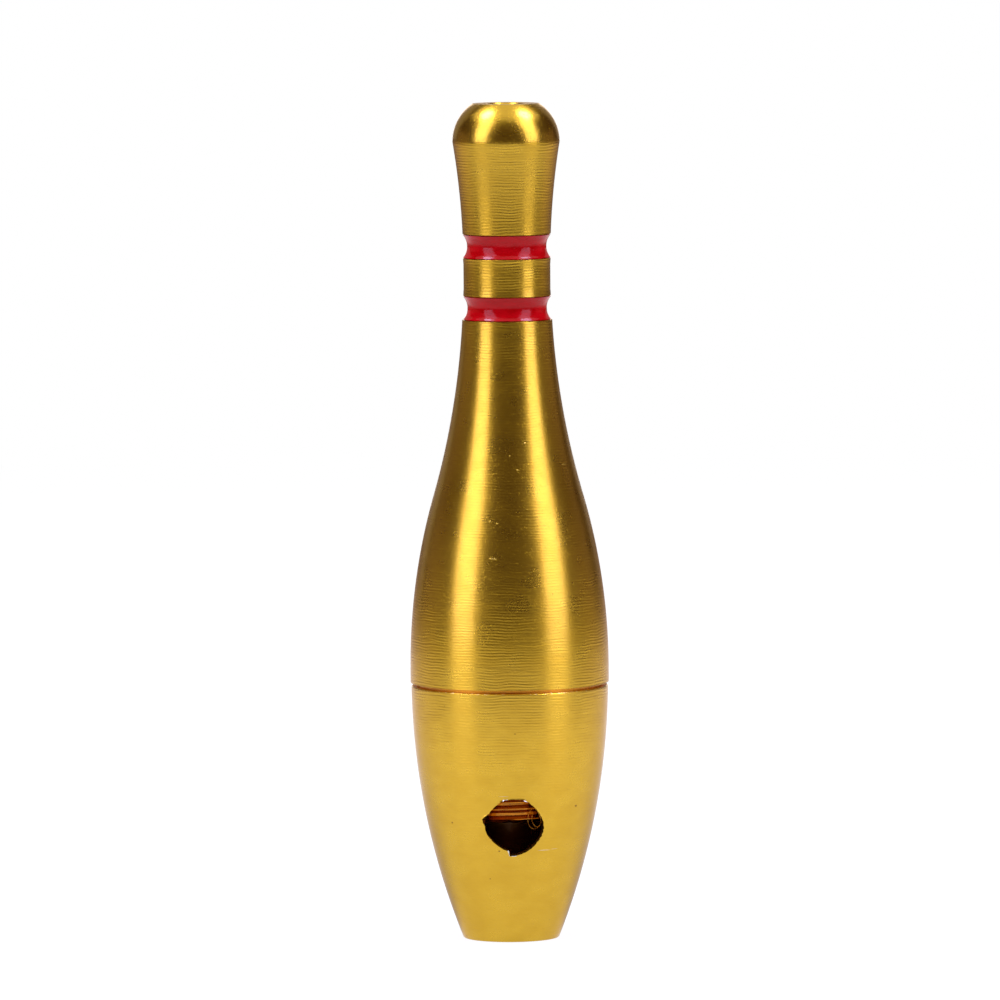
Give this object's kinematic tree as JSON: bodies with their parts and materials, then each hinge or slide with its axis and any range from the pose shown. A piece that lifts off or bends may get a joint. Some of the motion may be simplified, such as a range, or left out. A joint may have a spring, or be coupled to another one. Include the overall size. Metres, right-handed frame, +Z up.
{
  "type": "bowling pin shaped pocket pipe",
  "caption": "Two-piece metal pocket pipe shaped like a bowling pin: halves screw together at the belly, side hole opens into the chamber, airway runs to the flat top.",
  "frame": {"origin": "middle of the base, on the axis", "axes": "+Z up the axis from the base to the flat top; the side hole faces -Y; +X is to the right when looking at the side hole"},
  "size_m": [0.019, 0.019, 0.08],
  "materials": {
    "gold_cup": "satin gold anodising over fine turning lines",
    "gold_body": "satin gold anodising over fine turning lines, polished on the dome",
    "red_enamel": "glossy enamel",
    "brass_gauze": "dull woven wire"
  },
  "bodies": {
    "cup": {"bowl_cup": "gold_cup"},
    "screen": {"gauze_screen": "brass_gauze"},
    "mouthpiece": {"mouthpiece_body": "gold_body", "upper_red_band": "red_enamel", "lower_red_band": "red_enamel"}
  },
  "joints": [
    {"name": "lift", "type": "slide", "parent": "cup", "child": "screen", "axis": [0, 0, 1], "range_m": [0, 0.014]},
    {"name": "unscrew", "type": "hinge", "parent": "screen", "child": "mouthpiece", "pos_m": [0, 0, 0.0246], "axis": [0, 0, 1], "range_deg": [0, 5040]}
  ],
  "couplings": [
    {"joint": "lift", "follows": "unscrew", "m_per_rad": 0.00015915}
  ]
}
